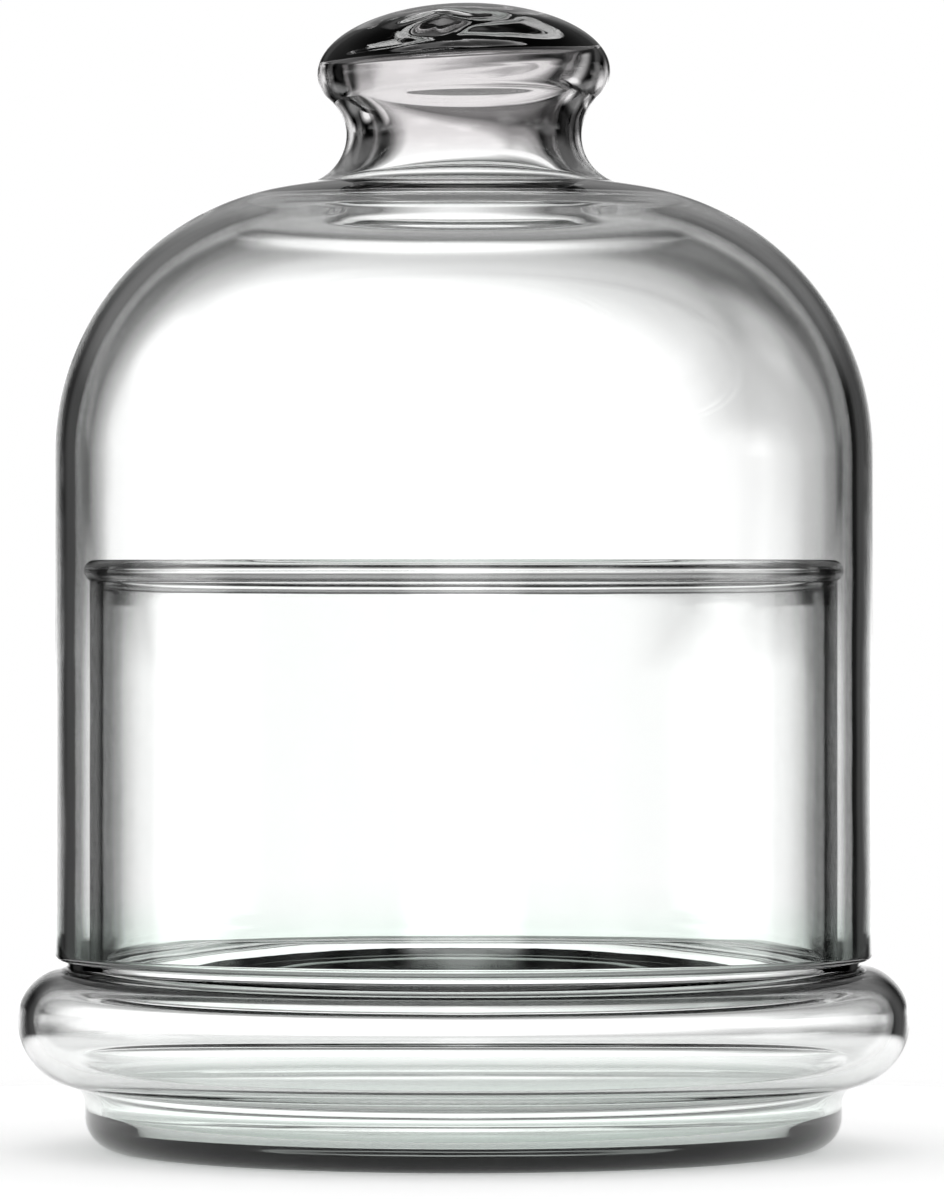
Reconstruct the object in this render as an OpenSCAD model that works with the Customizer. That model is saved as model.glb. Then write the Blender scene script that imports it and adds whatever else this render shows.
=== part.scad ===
// Glass storage jar with a lift-off dome lid, in millimetres, +Z up.
// The origin is the middle of the ring that stands on the table.

/* [Dome lid] */
// Outside width of the dome
dome_w = 97.9; // [94:0.1:106]
// Thickness of the dome's glass
dome_wall = 2.4; // [2:0.1:3]
// Height of the dome's straight wall, from its rim
wall_h = 60.4; // [54:0.1:68]
// Radius of the shoulder, in the section
shoulder_r = 32.4; // [28:0.1:34.8]
// Radius of the crown, in the section
crown_r = 125; // [110:1:140]
// Rounding of the rim's outer edge
rim_r = 0.9; // [0.6:0.1:1.2]

/* [Knob] */
// Width of the knob's cap
cap_w = 35.1; // [32:0.1:40]
// Height of the cap above its widest line
cap_h = 8.3; // [7:0.1:11]
// Rounding under the cap's edge
lip_r = 4; // [3.2:0.1:4.4]
// Width of the waist
waist_w = 28.2; // [25:0.1:30]
// Radius of the waist's curve, in the section
waist_r = 5.9; // [5.2:0.1:6.4]
// Thickness of the glass at the waist and round the cap's edge
knob_wall = 3.1; // [2.6:0.1:3.6]
// Thickness of the glass on top of the cap
cap_t = 5; // [4:0.1:5.6]
// Radius of the hollow's widest line, in the section
hollow_r = 3; // [2:0.1:3.6]
// Radius of the flare by which the dome's inside runs up into the hollow
flare_r = 8.3; // [7.6:0.1:9]

/* [Jar] */
// How far the mouth stops below the end of the dome's straight wall
mouth_drop = 12.6; // [8:0.1:24]
// Gap between the mouth's bead and the dome, all round
bead_gap = 1.1; // [0.6:0.1:1.6]
// Radius of the bead round the mouth, in the section
bead_r = 1.35; // [1.1:0.05:1.6]
// How far the bead stands out past the neck
bead_out = 0.7; // [0.4:0.1:0.9]
// Thickness of the neck's glass
neck_wall = 1.5; // [1.2:0.1:2]

/* [Bulge and foot] */
// How far the bulge stands out past the dome
bulge_out = 4.5; // [3.5:0.1:6]
// Height of the bulge's widest line
bulge_z = 15.6; // [15.5:0.1:19]
// Radius of the bulge above that line, in the section
bulge_top_r = 6.5; // [5.8:0.1:7.6]
// Radius of the bulge below that line, in the section
bulge_low_r = 7.9; // [7:0.1:8]
// Width of the foot
foot_w = 90.6; // [84:0.2:93]
// Radius of the groove between the bulge and the foot
groove_r = 2.6; // [1.8:0.1:2.7]
// Radius of the foot's heel
heel_r = 4; // [2.6:0.1:4.8]
// Thickness of the glass in the bulge and the foot
bulge_wall = 1.9; // [1.5:0.1:2.4]
// Thickness of the bottom
base_t = 3; // [2.4:0.1:3.1]
// How far the bottom is pushed up in the middle
kick_h = 0.8; // [0.4:0.1:1.6]
// Width of the ring that touches the table
ring_w = 6; // [4:0.5:9]
// Height of the dome's seat above the bulge
seat_rise = 0.6; // [0.3:0.1:1]

/* [Hidden] */

// largest gap between a chord and its arc
FINE = 0.012;
// edges too small to measure in the photograph
RIM_IN_R = 0.4;
SEAT_EDGE_R = 0.25;
NECK_FILLET_R = 1;
INNER_HEEL_R = 2;
THROAT_R = 1.5;
// width of the seat under the dome's wall
SEAT_UNDER = 1;

dome_r = dome_w / 2;
dome_in = dome_r - dome_wall;
seat_z = bulge_z + bulge_top_r + seat_rise;

// points on an arc in the section; an arc that goes on from the one before it starts at 1
function arc(c, r, a0, a1, start = 0) = oval(c, r, r, a0, a1, start);
// the same on an ellipse with half-axes r and h
function oval(c, r, h, a0, a1, start = 0) =
    let (n = max(2, ceil(abs(a1 - a0) / (2 * acos(1 - min(FINE / r, 0.2))))))
    [for (i = [start:n]) let (a = a0 + (a1 - a0) * i / n) c + [r * cos(a), h * sin(a)]];
// the angle at which point q is seen from p
function bearing(p, q) = atan2(q[1] - p[1], q[0] - p[0]);
// how much higher the second centre is, for circles d apart whose centres are e apart in radius
function rise(d, e) = sqrt(d * d - e * e);

// Dome: the shoulder is tangent to the wall, and the crown to the shoulder.
shoulder_c = [dome_r - shoulder_r, seat_z + wall_h];
crown_c = [0, shoulder_c[1] - rise(crown_r - shoulder_r, shoulder_c[0])];
crown_a = bearing(crown_c, shoulder_c);
// Knob: waist tangent to the crown, lip tangent to the waist, cap from the lip's widest point.
waist_c = [waist_w / 2 + waist_r, crown_c[1] + rise(crown_r + waist_r, waist_w / 2 + waist_r)];
lip_c = [cap_w / 2 - lip_r, waist_c[1] + rise(lip_r + waist_r, waist_c[0] - cap_w / 2 + lip_r)];
// The knob is blown hollow: the flare is tangent to the crown's inside and to the hollow's side.
flare_x = waist_w / 2 - knob_wall + flare_r;
flare_c = [flare_x, crown_c[1] + rise(crown_r - dome_wall + flare_r, flare_x)];
hollow_w = cap_w / 2 - knob_wall;
hollow_c = [hollow_w - hollow_r,
            flare_c[1] + rise(hollow_r + flare_r, flare_x - hollow_w + hollow_r)];
hollow_h = lip_c[1] + cap_h - cap_t - hollow_c[1];

// Jar: the neck and seat are sized from the dome.
mouth_z = seat_z + wall_h - mouth_drop;
bead_c = [dome_in - bead_gap - bead_r, mouth_z - bead_r];
neck_r = dome_in - bead_gap - bead_out;
neck_in = neck_r - neck_wall;
seat_r = dome_in + SEAT_UNDER;
bulge_r = dome_r + bulge_out;
top_c = [bulge_r - bulge_top_r, bulge_z];
low_c = [bulge_r - bulge_low_r, bulge_z];
foot_r = foot_w / 2;
groove_c = [foot_r + groove_r,
            bulge_z - rise(bulge_low_r + groove_r, foot_r + groove_r - low_c[0])];
groove_a = bearing(low_c, groove_c);
throat_c = [neck_in + THROAT_R,
            bulge_z + rise(bulge_top_r - bulge_wall + THROAT_R, top_c[0] - neck_in - THROAT_R)];
throat_a = bearing(top_c, throat_c);
// where the bead meets the two faces of the neck
bead_out_a = acos((neck_r - bead_c[0]) / bead_r);
bead_in_a = acos((neck_in - bead_c[0]) / bead_r);
// the bottom's push-up is part of a large ball
kick_r = foot_r - heel_r - ring_w;
ball_r = (kick_r * kick_r + kick_h * kick_h) / (2 * kick_h);
ball_a = asin(kick_r / ball_r);
floor_r = foot_r - bulge_wall - INNER_HEEL_R;

module jar() {
    color("powderblue", 0.5) rotate_extrude($fn = 120) polygon(concat(
        arc([0, kick_h - ball_r], ball_r, 90, 90 - ball_a),
        arc([foot_r - heel_r, heel_r], heel_r, -90, 0),
        arc(groove_c, groove_r, 180, 180 + groove_a),
        arc(low_c, bulge_low_r, groove_a, 0, 1),
        arc(top_c, bulge_top_r, 0, acos((seat_r - top_c[0]) / bulge_top_r), 1),
        arc([seat_r - SEAT_EDGE_R, seat_z - SEAT_EDGE_R], SEAT_EDGE_R, 0, 90),
        arc([neck_r + NECK_FILLET_R, seat_z + NECK_FILLET_R], NECK_FILLET_R, 270, 180),
        arc(bead_c, bead_r, -bead_out_a, 360 - bead_in_a),
        arc(throat_c, THROAT_R, 180, 180 + throat_a),
        arc(top_c, bulge_top_r - bulge_wall, throat_a, 0, 1),
        arc(low_c, bulge_low_r - bulge_wall, 0, groove_a, 1),
        arc(groove_c, groove_r + bulge_wall, 180 + groove_a, 180, 1),
        arc([floor_r, base_t + INNER_HEEL_R], INNER_HEEL_R, 0, -90),
        arc([0, base_t + kick_h - ball_r], ball_r, 90 - ball_a, 90)
    ));
}

module dome() {
    color("lightcyan", 0.5) rotate_extrude($fn = 120) polygon(concat(
        arc([dome_in + RIM_IN_R, seat_z + RIM_IN_R], RIM_IN_R, 180, 270),
        arc([dome_r - rim_r, seat_z + rim_r], rim_r, 270, 360),
        arc(shoulder_c, shoulder_r, 0, crown_a),
        arc(crown_c, crown_r, crown_a, bearing(crown_c, waist_c), 1),
        arc(waist_c, waist_r, 360 + bearing(waist_c, crown_c), bearing(waist_c, lip_c), 1),
        arc(lip_c, lip_r, bearing(lip_c, waist_c), 0, 1),
        oval([0, lip_c[1]], cap_w / 2, cap_h, 0, 90, 1),
        oval([0, hollow_c[1]], hollow_w, hollow_h, 90, 0),
        arc(hollow_c, hollow_r, 0, bearing(hollow_c, flare_c), 1),
        arc(flare_c, flare_r, bearing(flare_c, hollow_c), 360 + bearing(flare_c, crown_c), 1),
        arc(crown_c, crown_r - dome_wall, bearing(crown_c, flare_c), crown_a, 1),
        arc(shoulder_c, shoulder_r - dome_wall, crown_a, 0, 1)
    ));
}

jar();
dome();
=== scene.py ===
import math

import bpy
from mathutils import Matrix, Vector


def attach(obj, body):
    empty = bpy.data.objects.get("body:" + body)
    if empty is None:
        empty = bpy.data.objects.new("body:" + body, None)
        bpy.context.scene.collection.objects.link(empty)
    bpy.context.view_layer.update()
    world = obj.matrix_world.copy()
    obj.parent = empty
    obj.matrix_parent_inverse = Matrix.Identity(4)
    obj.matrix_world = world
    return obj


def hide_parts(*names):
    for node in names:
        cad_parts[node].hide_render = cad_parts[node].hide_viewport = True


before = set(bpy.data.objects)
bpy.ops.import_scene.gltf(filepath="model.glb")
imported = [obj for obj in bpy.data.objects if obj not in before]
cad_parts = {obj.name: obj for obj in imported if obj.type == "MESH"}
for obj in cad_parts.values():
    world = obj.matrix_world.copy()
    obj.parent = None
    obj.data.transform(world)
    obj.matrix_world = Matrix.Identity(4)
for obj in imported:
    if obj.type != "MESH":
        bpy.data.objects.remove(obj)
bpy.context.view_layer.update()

# Sizes are in millimetres and angles in degrees, and Blender's own are in metres.
MM = 1000

# The dome lid, with the sizes that the solids have.
DOME_R, DOME_WALL = 48.95, 2.4
WALL_H = 60.4
SHOULDER_R, CROWN_R = 32.4, 125.0
RIM_OUT_R = 0.9
# The knob: cap, lip, waist, and the hollow that runs up into it from the flare.
CAP_R, CAP_H, CAP_T = 17.55, 8.3, 5.0
LIP_R = 4.0
WAIST_R, WAIST_CURVE = 14.1, 5.9
KNOB_WALL, HOLLOW_R, FLARE_R = 3.1, 3.0, 8.3
# The bulge, the foot and the seat for the dome.
BULGE_R, BULGE_Z, BULGE_WALL = 53.43, 15.6, 1.9
BULGE_TOP_R, BULGE_LOW_R = 6.5, 7.9
FOOT_R, GROOVE_R, HEEL_R, INNER_HEEL = 45.3, 2.6, 4.0, 2.0
RING_W, BASE_T, KICK_H = 6.0, 3.0, 0.8
SEAT_RISE, SEAT_UNDER, SEAT_EDGE = 0.6, 1.0, 0.25
# The neck and the bead round the mouth.
MOUTH_DROP = 12.6
BEAD_GAP, BEAD_R, BEAD_OUT = 1.1, 1.35, 0.7
NECK_WALL, NECK_FILLET, THROAT_R = 1.5, 1.0, 1.5
# Soft edges finer than the solids have: inside the dome's rim, and where the bead meets the neck.
RIM_IN_R, BEAD_FILLET = 0.7, 0.3
# The dome stands this much above the seat, so that the two skins don't lie in one plane.
REST_GAP = 0.03

SEAT_Z = BULGE_Z + BULGE_TOP_R + SEAT_RISE
DOME_IN = DOME_R - DOME_WALL
SHOULDER = (DOME_R - SHOULDER_R, SEAT_Z + WALL_H)
CROWN = (0, SHOULDER[1] - math.sqrt((CROWN_R - SHOULDER_R) ** 2 - SHOULDER[0] ** 2))

# How finely a section is drawn: the angle of a step on an arc, by how much the arc shows, the
# longest step on an arc and on a straight line, and how near two points are the same one.
PLAIN_STEP, SHOULDER_STEP, BEAD_STEP, EDGE_STEP, SEAT_STEP = 3, 2, 6, 9, 15
LONGEST_CHORD, LONGEST_LINE, SAME_POINT = 1.2, 3.0, 0.004
# How many steps each piece is spun in: the jar has the longer section.
JAR_TURNS, DOME_TURNS = 232, 288
# In metres: the plane that is merged into a section's first point, and how near points are merged.
SEED, MERGE = 0.001, 0.000002
# An edge that turns by more than this stays sharp.
SHARP = 50

# What the blower's hand left in the knob: how far the hollow and the cap lean, about which height,
# from which height up, and how far the glass round them follows.
HOLLOW_LEAN, HOLLOW_PIVOT, HOLLOW_FROM, HOLLOW_REACH = 1.3, 126, 124, 10
CAP_LEAN, CAP_PIVOT, CAP_FROM, CAP_REACH = 1.0, 129, 126, 8
CAP_SETTLE = -0.03
# The ceiling of the hollow is thinner than the rest, and dented: across, deep, reach and depth.
CEILING_UP, CEILING_REACH = 1.2, 9
CEILING_DENTS = (
    (-5, -3, 4, -0.7),
    (-2, 2, 4, 0.5),
    (1, -4, 4, -0.6),
    (4, 1, 5, 0.4),
    (-8, 0, 4, 0.5),
    (-3, -7, 4, 0.5),
)
# Waves round the inner face of the crown: radius, reach and depth.
CROWN_WAVES = ((25, 5, 0.27), (17, 3, -0.17))
# Between the knob's inner and outer faces: its top, its radius in the waist and above it, and the
# height where one gives way to the other.
INNER_TOP, INNER_WAIST_R, INNER_CAP_R, WAIST_TOP = 132.5, 13.9, 14.6, 127
CEILING_LOW, CEILING_HIGH = 128, 134
# How near a point is to the spot or the height that is pressed.
SPOT, SKIN = 0.7, 0.4


def arc(centre, radius, start, end, height=None, step=PLAIN_STEP):
    """Points on an arc of the section, from one angle to the other; an oval has its own height."""
    height = radius if height is None else height
    turn = abs(end - start)
    n = max(3, math.ceil(turn / step), math.ceil(math.radians(turn) * radius / LONGEST_CHORD))
    angles = [math.radians(start + (end - start) * i / n) for i in range(n + 1)]
    return [(centre[0] + radius * math.cos(a), centre[1] + height * math.sin(a)) for a in angles]


def rise(apart, across):
    """How much higher one centre is, for circles so far apart whose centres are across in radius."""
    return math.sqrt(apart * apart - across * across)


def bearing(a, b):
    """The angle at which one point is seen from another."""
    return math.degrees(math.atan2(b[1] - a[1], b[0] - a[0]))


def filled(points):
    """The section with long straight lines divided and repeated points left out."""
    out = [points[0]]
    for p in points[1:]:
        q = out[-1]
        d = math.dist(p, q)
        if d < SAME_POINT:
            continue
        n = max(1, math.ceil(d / LONGEST_LINE))
        out += [(q[0] + (p[0] - q[0]) * i / n, q[1] + (p[1] - q[1]) * i / n) for i in range(1, n + 1)]
    return out


def jar_section():
    """The jar's half section, from the push-up under the foot round to the bottom's inside."""
    neck_out = DOME_IN - BEAD_GAP - BEAD_OUT
    neck_in = neck_out - NECK_WALL
    bead = (DOME_IN - BEAD_GAP - BEAD_R, SHOULDER[1] - MOUTH_DROP - BEAD_R)
    top = (BULGE_R - BULGE_TOP_R, BULGE_Z)
    low = (BULGE_R - BULGE_LOW_R, BULGE_Z)
    groove_x = FOOT_R + GROOVE_R
    groove = (groove_x, BULGE_Z - rise(BULGE_LOW_R + GROOVE_R, groove_x - low[0]))
    groove_a = bearing(low, groove)
    throat_x = neck_in + THROAT_R
    throat = (throat_x, BULGE_Z + rise(BULGE_TOP_R - BULGE_WALL + THROAT_R, top[0] - throat_x))
    throat_a = bearing(top, throat)
    seat_r = DOME_IN + SEAT_UNDER
    reach = BEAD_R + BEAD_FILLET
    out_x = neck_out + BEAD_FILLET
    out_f = (out_x, bead[1] - rise(reach, out_x - bead[0]))
    in_x = neck_in - BEAD_FILLET
    in_f = (in_x, bead[1] - rise(reach, bead[0] - in_x))
    kick_r = FOOT_R - HEEL_R - RING_W
    ball = (kick_r ** 2 + KICK_H ** 2) / (2 * KICK_H)
    ball_a = math.degrees(math.asin(kick_r / ball))
    seat_a = math.degrees(math.acos((seat_r - top[0]) / BULGE_TOP_R))
    inner_heel = (FOOT_R - BULGE_WALL - INNER_HEEL, BASE_T + INNER_HEEL)
    return filled(
        arc((0, KICK_H - ball), ball, 90, 90 - ball_a)
        + arc((FOOT_R - HEEL_R, HEEL_R), HEEL_R, -90, 0)
        + arc(groove, GROOVE_R, 180, 180 + groove_a)
        + arc(low, BULGE_LOW_R, groove_a, 0)
        + arc(top, BULGE_TOP_R, 0, seat_a)
        + arc((seat_r - SEAT_EDGE, SEAT_Z - SEAT_EDGE), SEAT_EDGE, 0, 90, step=SEAT_STEP)
        + arc((neck_out + NECK_FILLET, SEAT_Z + NECK_FILLET), NECK_FILLET, 270, 180, step=EDGE_STEP)
        + arc(out_f, BEAD_FILLET, 180, bearing(out_f, bead), step=EDGE_STEP)
        + arc(bead, BEAD_R, bearing(bead, out_f), bearing(bead, in_f) + 360, step=BEAD_STEP)
        + arc(in_f, BEAD_FILLET, bearing(in_f, bead), 0, step=EDGE_STEP)
        + arc(throat, THROAT_R, 180, 180 + throat_a)
        + arc(top, BULGE_TOP_R - BULGE_WALL, throat_a, 0)
        + arc(low, BULGE_LOW_R - BULGE_WALL, 0, groove_a)
        + arc(groove, GROOVE_R + BULGE_WALL, 180 + groove_a, 180)
        + arc(inner_heel, INNER_HEEL, 0, -90, step=BEAD_STEP)
        + arc((0, BASE_T + KICK_H - ball), ball, 90 - ball_a, 90)
    )


def dome_section():
    """The dome's half section, from the top of the knob down its outside and up its inside."""
    rim_z = SEAT_Z + REST_GAP
    crown_a = bearing(CROWN, SHOULDER)
    waist_x = WAIST_R + WAIST_CURVE
    waist = (waist_x, CROWN[1] + rise(CROWN_R + WAIST_CURVE, waist_x))
    lip_x = CAP_R - LIP_R
    lip = (lip_x, waist[1] + rise(LIP_R + WAIST_CURVE, waist_x - lip_x))
    flare_x = WAIST_R - KNOB_WALL + FLARE_R
    flare = (flare_x, CROWN[1] + rise(CROWN_R - DOME_WALL + FLARE_R, flare_x))
    side_x = CAP_R - KNOB_WALL - HOLLOW_R
    side = (side_x, flare[1] + rise(HOLLOW_R + FLARE_R, flare_x - side_x))
    hollow_h = lip[1] + CAP_H - CAP_T - side[1]
    return filled(
        arc((0, lip[1]), CAP_R, 90, 0, height=CAP_H)
        + arc(lip, LIP_R, 0, bearing(lip, waist))
        + arc(waist, WAIST_CURVE, bearing(waist, lip), 360 + bearing(waist, CROWN))
        + arc(CROWN, CROWN_R, bearing(CROWN, waist), crown_a)
        + arc(SHOULDER, SHOULDER_R, crown_a, 0, step=SHOULDER_STEP)
        + arc((DOME_R - RIM_OUT_R, rim_z + RIM_OUT_R), RIM_OUT_R, 360, 270, step=EDGE_STEP)
        + arc((DOME_IN + RIM_IN_R, rim_z + RIM_IN_R), RIM_IN_R, 270, 180, step=EDGE_STEP)
        + arc(SHOULDER, SHOULDER_R - DOME_WALL, 0, crown_a, step=SHOULDER_STEP)
        + arc(CROWN, CROWN_R - DOME_WALL, crown_a, bearing(CROWN, flare))
        + arc(flare, FLARE_R, 360 + bearing(flare, CROWN), bearing(flare, side))
        + arc(side, HOLLOW_R, bearing(side, flare), 0)
        + arc((0, side[1]), CAP_R - KNOB_WALL, 0, 90, height=hollow_h)
    )


def blow(name, section, turns):
    """Draws a half section from one vertex, point by point, and spins it into closed glass."""
    bpy.ops.object.select_all(action="DESELECT")
    bpy.ops.mesh.primitive_plane_add(size=SEED, location=(0, 0, 0))
    piece = bpy.context.object
    piece.name = name
    piece.data.name = name
    bpy.ops.object.mode_set(mode="EDIT")
    bpy.ops.mesh.select_all(action="SELECT")
    bpy.ops.mesh.merge(type="CENTER")
    place = Vector((section[0][0] / MM, 0, section[0][1] / MM))
    bpy.ops.transform.translate(value=place)
    for r, z in section[1:]:
        point = Vector((r / MM, 0, z / MM))
        bpy.ops.mesh.extrude_region_move(TRANSFORM_OT_translate={"value": point - place})
        place = point
    bpy.ops.object.mode_set(mode="OBJECT")
    turn = piece.modifiers.new("turn", "SCREW")
    turn.steps = turn.render_steps = turns
    turn.use_merge_vertices = True
    turn.merge_threshold = MERGE
    bpy.ops.object.modifier_apply(modifier=turn.name)
    bpy.ops.object.mode_set(mode="EDIT")
    bpy.ops.mesh.select_all(action="SELECT")
    bpy.ops.mesh.remove_doubles(threshold=MERGE)
    bpy.ops.mesh.normals_make_consistent(inside=False)
    bpy.ops.object.mode_set(mode="OBJECT")
    bpy.ops.object.shade_smooth_by_angle(angle=math.radians(SHARP))
    return piece


def work_hot(piece, chosen, reach, move=(0, 0, 0), lean=0.0, about=(0, 0, 0)):
    """Moves the chosen points, and the glass near them less and less, as a blower's tool does. The
    lean is about Y and lifts the right side."""
    bpy.ops.object.select_all(action="DESELECT")
    bpy.context.view_layer.objects.active = piece
    piece.select_set(True)
    bpy.ops.object.mode_set(mode="EDIT")
    bpy.ops.mesh.select_mode(type="VERT")
    bpy.ops.mesh.select_all(action="DESELECT")
    bpy.ops.object.mode_set(mode="OBJECT")
    for v in piece.data.vertices:
        v.select = chosen(v.co * MM)
    bpy.ops.object.mode_set(mode="EDIT")
    soft = {
        "use_proportional_edit": True,
        "use_proportional_connected": True,
        "proportional_edit_falloff": "SMOOTH",
        "proportional_size": reach / MM,
    }
    if lean:
        bpy.ops.transform.rotate(
            value=math.radians(lean),
            orient_axis="Y",
            center_override=Vector(about) / MM,
            **soft,
        )
    if any(move):
        bpy.ops.transform.translate(value=Vector(move) / MM, **soft)
    bpy.ops.object.mode_set(mode="OBJECT")


def whole_cap(p):
    """Chooses the cap above the waist, inside and out."""
    return p.z > CAP_FROM


def knob_inside(p):
    """Chooses the knob's inner face."""
    widest = INNER_WAIST_R if p.z < WAIST_TOP else INNER_CAP_R
    return HOLLOW_FROM < p.z < INNER_TOP and math.hypot(p.x, p.y) < widest


def ceiling(x, y):
    """Chooses a spot of the hollow's ceiling."""

    def chosen(p):
        inside = CEILING_LOW < p.z < CEILING_HIGH and math.hypot(p.x, p.y) < INNER_WAIST_R
        return inside and math.dist(p.xy, (x, y)) < SPOT

    return chosen


def crown_inside(radius):
    """Chooses a ring on the inner face of the crown."""
    height = CROWN[1] + rise(CROWN_R - DOME_WALL, radius)
    return lambda p: abs(math.hypot(p.x, p.y) - radius) < SPOT and abs(p.z - height) < SKIN


def new_group(name, takes, gives):
    """An empty node group with named number, vector and colour sockets."""
    kinds = {"n": "NodeSocketFloat", "v": "NodeSocketVector", "c": "NodeSocketColor"}
    group = bpy.data.node_groups.new(name, "ShaderNodeTree")
    for side, sockets in (("INPUT", takes), ("OUTPUT", gives)):
        for label, kind in sockets:
            group.interface.new_socket(label, in_out=side, socket_type=kinds[kind])
    taken = group.nodes.new("NodeGroupInput").outputs
    given = group.nodes.new("NodeGroupOutput").inputs
    return group, taken, given


def maths_in(tree):
    """A short way to write one Math node of a tree, whose inputs are numbers or sockets."""

    def maths(op, a, b=None, c=None, clamp=False):
        n = tree.nodes.new("ShaderNodeMath")
        n.operation = op
        n.use_clamp = clamp
        for i, v in enumerate((a, b, c)):
            if isinstance(v, (int, float)):
                n.inputs[i].default_value = v
            elif v is not None:
                tree.links.new(v, n.inputs[i])
        return n.outputs[0]

    return maths


def noise_in(tree, place, scale, detail, stretch=(1, 1, 1)):
    """Noise of so many waves a metre, drawn out along an axis."""
    pull = tree.nodes.new("ShaderNodeVectorMath")
    pull.operation = "MULTIPLY"
    pull.inputs[1].default_value = stretch
    tree.links.new(place, pull.inputs[0])
    n = tree.nodes.new("ShaderNodeTexNoise")
    n.inputs["Detail"].default_value = detail
    tree.links.new(pull.outputs[0], n.inputs["Vector"])
    if isinstance(scale, (int, float)):
        n.inputs["Scale"].default_value = scale
    else:
        tree.links.new(scale, n.inputs["Scale"])
    return n.outputs["Fac"]


def height_in(tree, place):
    """The height of a place."""
    split = tree.nodes.new("ShaderNodeSeparateXYZ")
    tree.links.new(place, split.inputs[0])
    return split.outputs["Z"]


def nearness(maths, z, height, reach):
    """How near z is to a height: 1 there and 0 at the end of the reach."""
    away = maths("ABSOLUTE", maths("SUBTRACT", z, height))
    return maths("SUBTRACT", 1.0, maths("DIVIDE", away, reach), clamp=True)


# Noise on the glass, as waves a metre, detail and stretch.
WAVE_DETAIL, WAVE_STRETCH = 1, (1, 1, 1.6)
RIPPLE_WAVES, RIPPLE_DETAIL, RIPPLE_STRETCH = 420, 2, (0.5, 0.5, 1.4)
SCUFF_WAVES, SCUFF_DETAIL, SCUFF_GAIN, SCUFF_CUT = 2600, 4, 3.0, -1.1
PATCH_WAVES, PATCH_DETAIL = 160, 1
CLOUD_WAVES, CLOUD_DETAIL, CLOUD_LIFT = 60, 1, 0.4


def blown_waves():
    """The slow unevenness of blown glass, drawn out round the axis as the pipe was turned."""
    sockets = (("Place", "v"), ("Waves", "n"), ("Ripple", "n"))
    group, take, give = new_group("blown_waves", sockets, (("Height", "n"),))
    maths = maths_in(group)
    slow = noise_in(group, take["Place"], take["Waves"], WAVE_DETAIL, WAVE_STRETCH)
    quick = noise_in(group, take["Place"], RIPPLE_WAVES, RIPPLE_DETAIL, RIPPLE_STRETCH)
    group.links.new(maths("MULTIPLY_ADD", quick, take["Ripple"], slow), give["Height"])
    return group


def rubbed_ring():
    """Fine scuffs where glass stands on the table or on glass, as a mask round one height."""
    sockets = (("Place", "v"), ("Height", "n"), ("Reach", "n"), ("Wear", "n"))
    group, take, give = new_group("rubbed_ring", sockets, (("Mask", "n"),))
    maths = maths_in(group)
    near = nearness(maths, height_in(group, take["Place"]), take["Height"], take["Reach"])
    scuffs = noise_in(group, take["Place"], SCUFF_WAVES, SCUFF_DETAIL)
    patches = noise_in(group, take["Place"], PATCH_WAVES, PATCH_DETAIL)
    lines = maths("MULTIPLY_ADD", scuffs, SCUFF_GAIN, SCUFF_CUT, clamp=True)
    spots = maths("MULTIPLY", lines, patches)
    mask = maths("MULTIPLY", maths("MULTIPLY", near, spots), take["Wear"], clamp=True)
    group.links.new(mask, give["Mask"])
    return group


def green_edge_and_painted_shade():
    """Clear glass that turns faintly green towards an edge at one height, and grey above another: painted
    shade that makes thick glass look darker.
    """
    sockets = (
        ("Place", "v"),
        ("Height", "n"),
        ("Reach", "n"),
        ("Shade From", "n"),
        ("Shade To", "n"),
        ("Clear", "c"),
        ("Green", "c"),
        ("Painted Shade", "c"),
    )
    group, take, give = new_group("green_edge_and_painted_shade", sockets, (("Colour", "c"),))
    maths = maths_in(group)
    z = height_in(group, take["Place"])
    near = nearness(maths, z, take["Height"], take["Reach"])
    lifted = maths("ADD", noise_in(group, take["Place"], CLOUD_WAVES, CLOUD_DETAIL), CLOUD_LIFT)
    cloud = maths("MULTIPLY", near, lifted, clamp=True)
    # Painted shade: the glass turns grey from one height up, so that the thick knob looks darker.
    step = group.nodes.new("ShaderNodeMapRange")
    step.interpolation_type = "SMOOTHSTEP"
    group.links.new(z, step.inputs["Value"])
    group.links.new(take["Shade From"], step.inputs["From Min"])
    group.links.new(take["Shade To"], step.inputs["From Max"])

    def mixed(share, a, b):
        n = group.nodes.new("ShaderNodeMix")
        n.data_type = "RGBA"
        for label, v in (("Factor", share), ("A", a), ("B", b)):
            group.links.new(v, n.inputs[label])
        return n.outputs["Result"]

    tinted = mixed(cloud, take["Clear"], take["Green"])
    group.links.new(mixed(step.outputs["Result"], tinted, take["Painted Shade"]), give["Colour"])
    return group


WAVES = blown_waves()
RUBBED = rubbed_ring()
GREEN_AND_SHADE = green_edge_and_painted_shade()

# Glass colours, of which the grey is painted shade for the thick knob, how it bends light, how rough a scuff
# is and how far scuffs reach, in mm, and how much light a metre of the glass takes.
CLEAR, PALE_GREEN, PAINTED_SHADE_GREY = (0.992, 0.995, 0.993, 1), (0.88, 0.95, 0.91, 1), (0.795, 0.78, 0.784, 1)
GLASS_IOR, SCUFF_ROUGHNESS, SCUFF_REACH, SCUFF_WEAR, BODY_DENSITY = 1.5, 0.35, 0.7, 1.0, 4.0


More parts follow.
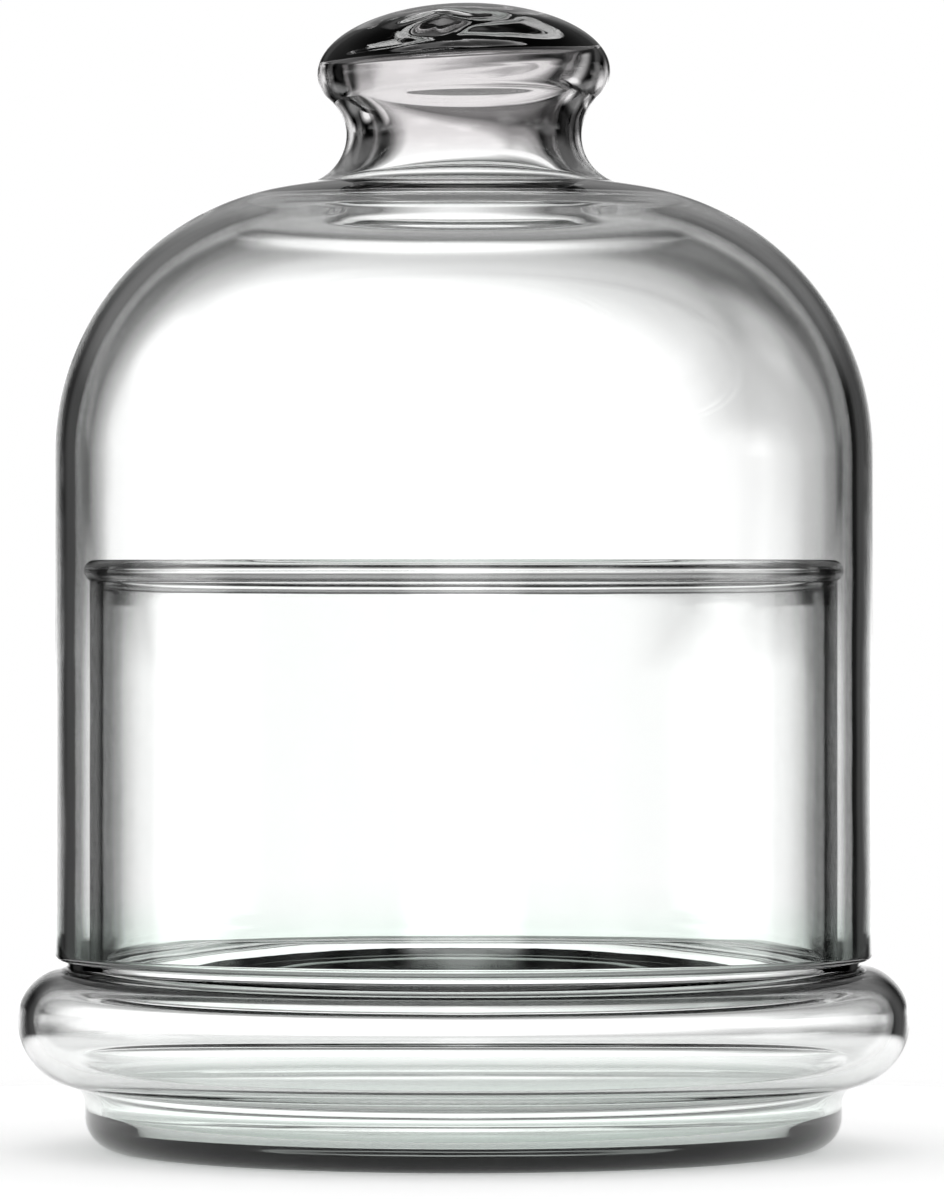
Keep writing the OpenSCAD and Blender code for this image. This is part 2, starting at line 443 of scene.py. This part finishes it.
def clear_glass(name, waves, ripple, depth, stands, edge, reach, painted_shade_heights):
    """Blown soda-lime glass: clear and polished, wavy, scuffed where it stands, green at an edge, and grey
    above a height as painted shade.
    """
    m = bpy.data.materials.new(name)
    m.use_nodes = True
    nodes, links = m.node_tree.nodes, m.node_tree.links
    glass = nodes["Principled BSDF"]
    glass.inputs["IOR"].default_value = GLASS_IOR
    glass.inputs["Transmission Weight"].default_value = 1.0
    place = nodes.new("ShaderNodeTexCoord").outputs["Object"]

    def use(group, values):
        n = nodes.new("ShaderNodeGroup")
        n.node_tree = group
        links.new(place, n.inputs["Place"])
        for label, v in values.items():
            n.inputs[label].default_value = v
        return n.outputs[0]

    tint = {
        "Height": edge / MM,
        "Reach": reach / MM,
        "Shade From": painted_shade_heights[0] / MM,
        "Shade To": painted_shade_heights[1] / MM,
        "Clear": CLEAR,
        "Green": PALE_GREEN,
        "Painted Shade": PAINTED_SHADE_GREY,
    }
    links.new(use(GREEN_AND_SHADE, tint), glass.inputs["Base Color"])
    scuffs = use(RUBBED, {"Height": stands / MM, "Reach": SCUFF_REACH / MM, "Wear": SCUFF_WEAR})
    rough = maths_in(m.node_tree)("MULTIPLY", scuffs, SCUFF_ROUGHNESS)
    links.new(rough, glass.inputs["Roughness"])
    bump = nodes.new("ShaderNodeBump")
    bump.inputs["Strength"].default_value = 1.0
    bump.inputs["Distance"].default_value = depth / MM
    links.new(use(WAVES, {"Waves": waves, "Ripple": ripple}), bump.inputs["Height"])
    links.new(bump.outputs["Normal"], glass.inputs["Normal"])
    body = nodes.new("ShaderNodeVolumeAbsorption")
    body.inputs["Color"].default_value = PALE_GREEN
    body.inputs["Density"].default_value = BODY_DENSITY
    links.new(body.outputs[0], nodes["Material Output"].inputs["Volume"])
    return m


jar = blow("jar_glass_body", jar_section(), JAR_TURNS)
dome = blow("dome_glass_bell", dome_section(), DOME_TURNS)

# The blower's hand: the hollow leans, the cap leans less, and the hollow's ceiling is thin and dented.
work_hot(dome, knob_inside, HOLLOW_REACH, lean=HOLLOW_LEAN, about=(0, 0, HOLLOW_PIVOT))
work_hot(dome, whole_cap, CAP_REACH, move=(0, 0, CAP_SETTLE), lean=CAP_LEAN, about=(0, 0, CAP_PIVOT))
work_hot(dome, ceiling(0, 0), CEILING_REACH, move=(0, 0, CEILING_UP))
for x, y, reach, depth in CEILING_DENTS:
    work_hot(dome, ceiling(x, y), reach, move=(0, 0, depth))
for radius, reach, depth in CROWN_WAVES:
    work_hot(dome, crown_inside(radius), reach, move=(0, 0, depth))

# Each piece's slow waves a metre and ripple, how deep they are, where it stands, its green edge and
# how far that reaches, and between which heights its glass turns grey as painted shade; the jar's never
# does.
JAR_GLASS = {
    "waves": 60,
    "ripple": 0.012,
    "depth": 0.03,
    "stands": 0.0,
    "edge": 0.0,
    "reach": 12,
    "painted_shade_heights": (1000, 1001),
}
DOME_GLASS = {
    "waves": 50,
    "ripple": 0.01,
    "depth": 0.03,
    "stands": SEAT_Z,
    "edge": SEAT_Z,
    "reach": 8,
    "painted_shade_heights": (115.5, 122),
}
for piece, node, finish in ((jar, "jar", JAR_GLASS), (dome, "dome", DOME_GLASS)):
    piece.data.materials.append(clear_glass(node + "_clear_glass", **finish))
    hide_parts(node)
    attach(piece, node)

# Floor, in metres: a round of white paper whose edge fades into the white behind the jar. It glows
# a little for what the camera, a mirror or glass sees, and more towards its edge. Under the foot it has
# a painted pool of light, standing in for the light that comes down through the clear jar.
FLOOR_R, FLOOR_Z, FLOOR_SIDES = 0.16, -0.0001, 96
PAPER_R, FADE_R = 0.10, 0.15
UNDER_R, UNDER_EDGE = 0.032, 0.042
PAPER_GLOW, EDGE_GLOW, PAINTED_LIGHT_UNDER_FOOT = 0.24, 0.3, 0.45
PAPER_WHITE, PAPER_ROUGHNESS = (0.94, 0.94, 0.94, 1), 0.9
bpy.ops.object.select_all(action="DESELECT")
bpy.ops.mesh.primitive_circle_add(
    vertices=FLOOR_SIDES, radius=FLOOR_R, fill_type="NGON", location=(0, 0, FLOOR_Z)
)
floor = bpy.context.object
floor.name = "floor"


def white_paper(name):
    """Matt white paper, whole under the jar and gone at its edge, that shows as white as the background
    and keeps the shadow round the foot, with a painted pool of light under it."""
    m = bpy.data.materials.new(name)
    m.use_nodes = True
    nodes, links = m.node_tree.nodes, m.node_tree.links
    paper = nodes["Principled BSDF"]
    paper.inputs["Base Color"].default_value = PAPER_WHITE
    paper.inputs["Roughness"].default_value = PAPER_ROUGHNESS
    paper.inputs["Specular IOR Level"].default_value = 0.0
    place = nodes.new("ShaderNodeTexCoord")
    out = nodes.new("ShaderNodeVectorMath")
    out.operation = "LENGTH"
    links.new(place.outputs["Object"], out.inputs[0])

    def inside(radius, edge, level):
        """A level inside a radius, falling softly to nothing at the edge."""
        n = nodes.new("ShaderNodeMapRange")
        n.interpolation_type = "SMOOTHSTEP"
        links.new(out.outputs["Value"], n.inputs["Value"])
        for key, v in (("From Min", radius), ("From Max", edge), ("To Min", level), ("To Max", 0.0)):
            n.inputs[key].default_value = v
        return n.outputs["Result"]

    whole = inside(PAPER_R, FADE_R, 1.0)
    links.new(whole, paper.inputs["Alpha"])
    path = nodes.new("ShaderNodeLightPath")
    maths = maths_in(m.node_tree)
    shows = maths("MAXIMUM", path.outputs["Is Camera Ray"], path.outputs["Is Glossy Ray"])
    shows = maths("MAXIMUM", shows, path.outputs["Is Transmission Ray"])
    paper.inputs["Emission Color"].default_value = (1, 1, 1, 1)
    outwards = maths("MULTIPLY_ADD", maths("SUBTRACT", 1.0, whole), EDGE_GLOW, PAPER_GLOW)
    # Painted pool of light under the foot, added to the paper's glow.
    strength = maths("ADD", outwards, inside(UNDER_R, UNDER_EDGE, PAINTED_LIGHT_UNDER_FOOT))
    links.new(maths("MULTIPLY", shows, strength), paper.inputs["Emission Strength"])
    return m


floor.data.materials.append(white_paper("white_paper"))

# Light for clear glass: white cards behind it as it is seen from the front, the sides and above,
# and black between them. A card is an azimuth, clockwise from straight behind, and an elevation,
# and its glow is how bright it is at so many degrees from its centre.
LEVEL_CARDS = ((-3, -0.3), (-90, -2), (90, 0), (180, 0))
LEVEL_GLOW = (
    (0, 1.4), (5.8, 1.4), (6.5, 1.25), (7.5, 0.9), (8.7, 0.67),
    (9.7, 0.5), (11, 0.27), (12.5, 0.14), (14, 0.04), (15.5, 0.0),
    (20, 0.0), (23, 0.055), (30, 0.09), (32, 0.05), (34, 0.0),
)
RIGHT_CARD = ((6, 0),)
RIGHT_GLOW = (
    (0, 1.1), (1, 1.0), (2, 0.8), (3, 0.72), (4, 0.66), (5, 0.5), (6.5, 0.47), (8, 0.2), (10, 0.0),
)
UPPER_CARDS = ((0, 18), (-90, 18))
UPPER_GLOW = ((0, 0.3), (6, 0.28), (10, 0.2), (14, 0.05), (16, 0.0))
LOW_CARDS = ((-45, -25), (45, -25), (135, -15), (-135, -15))
LOW_GLOW = ((0, 1.35), (6, 1.2), (7.5, 0.86), (8.7, 0.6), (10, 0.42), (12.5, 0.1), (15, 0.0))
CARDS = (
    (LEVEL_CARDS, LEVEL_GLOW),
    (RIGHT_CARD, RIGHT_GLOW),
    (UPPER_CARDS, UPPER_GLOW),
    (LOW_CARDS, LOW_GLOW),
)
CARD_REACH = 40
# The lit table just below the horizon, by degrees from the nearest quarter and by elevation.
TABLE_ACROSS = ((0, 1.4), (14, 1.35), (16, 0.8), (18, 0.25), (20, 0.0))
TABLE_DOWN = ((-9, 0.0), (-5, 0.5), (-3, 1.0), (-0.3, 1.0), (0.3, 0.0))
HALF_QUARTER = 45.0
# The ceiling's light, by elevation.
SKY_GLOW = ((8, 0.0), (15, 0.1), (30, 0.12), (45, 0.04), (60, 0.02), (75, 0.1), (90, 0.08))
# The brightest card, and the light that rays scattered by the paper find.
BRIGHTEST, FLOOR_LIGHT = 1.4, 1.05


def studio(world):
    """White where the camera sees past the jar, soft white on the floor, and the cards for what
    the glass bends or mirrors."""
    world.use_nodes = True
    nodes, links = world.node_tree.nodes, world.node_tree.links
    nodes.clear()
    maths = maths_in(world.node_tree)

    def glow(value, stops, low, high):
        """The brightness at a value, straight between the stops. A new ramp has two of them."""
        n = nodes.new("ShaderNodeValToRGB")
        ramp = n.color_ramp.elements
        for i, (at, level) in enumerate(stops):
            stop = ramp[i] if i < 2 else ramp.new(1.0)
            stop.position = (at - low) / (high - low)
            stop.color = (level / BRIGHTEST,) * 3 + (1,)
        links.new(maths("DIVIDE", maths("SUBTRACT", value, low), high - low), n.inputs[0])
        return maths("MULTIPLY", n.outputs[0], BRIGHTEST)

    place = nodes.new("ShaderNodeTexCoord").outputs["Generated"]

    def from_nearest(cards):
        """Degrees from the direction of view to the nearest card's centre."""
        nearest = -1.0
        for azimuth, elevation in cards:
            a, e = math.radians(azimuth), math.radians(elevation)
            dot = nodes.new("ShaderNodeVectorMath")
            dot.operation = "DOT_PRODUCT"
            links.new(place, dot.inputs[0])
            dot.inputs[1].default_value = (math.sin(a) * math.cos(e), math.cos(a) * math.cos(e), math.sin(e))
            nearest = maths("MAXIMUM", dot.outputs["Value"], nearest)
        return maths("DEGREES", maths("ARCCOSINE", maths("MINIMUM", nearest, 1.0)))

    def either(share, a, b):
        """One brightness or the other, by a share of 0 or 1."""
        n = nodes.new("ShaderNodeMix")
        links.new(share, n.inputs[0])
        links.new(a, n.inputs[2])
        n.inputs[3].default_value = b
        return n.outputs[0]

    split = nodes.new("ShaderNodeSeparateXYZ")
    links.new(place, split.inputs[0])
    height = maths("DEGREES", maths("ARCSINE", split.outputs["Z"]))
    azimuth = maths("DEGREES", maths("ARCTAN2", split.outputs["X"], split.outputs["Y"]))
    across = glow(maths("PINGPONG", azimuth, HALF_QUARTER), TABLE_ACROSS, 0, CARD_REACH)
    level = maths("MULTIPLY", across, glow(height, TABLE_DOWN, -90, 90))
    for cards, stops in CARDS:
        level = maths("MAXIMUM", level, glow(from_nearest(cards), stops, 0, CARD_REACH))
    level = maths("ADD", level, glow(height, SKY_GLOW, -90, 90))
    path = nodes.new("ShaderNodeLightPath")
    scattered = maths("GREATER_THAN", path.outputs["Diffuse Depth"], 0.5)
    soft = either(scattered, level, FLOOR_LIGHT)
    back = nodes.new("ShaderNodeBackground")
    back.inputs["Color"].default_value = (1, 1, 1, 1)
    links.new(either(path.outputs["Is Camera Ray"], soft, 1.0), back.inputs["Strength"])
    out = nodes.new("ShaderNodeOutputWorld")
    links.new(back.outputs[0], out.inputs["Surface"])


scene = bpy.context.scene
scene.world = bpy.data.worlds.new("light_table")
studio(scene.world)
scene.view_settings.view_transform = "Standard"

# Camera, in metres: level with the middle of the dome, a little to the right of the axis, dipped by
# a fraction of a degree, with a long lens.
CAMERA_PLACE, CAMERA_DIP = (0.001, -0.984, 0.0687), 0.175
SENSOR_W, LENS = 36, 246.5
bpy.ops.object.camera_add(location=CAMERA_PLACE, rotation=(math.radians(90 - CAMERA_DIP), 0, 0))
camera = bpy.context.object
camera.data.sensor_width = SENSOR_W
camera.data.lens = LENS
scene.camera = camera
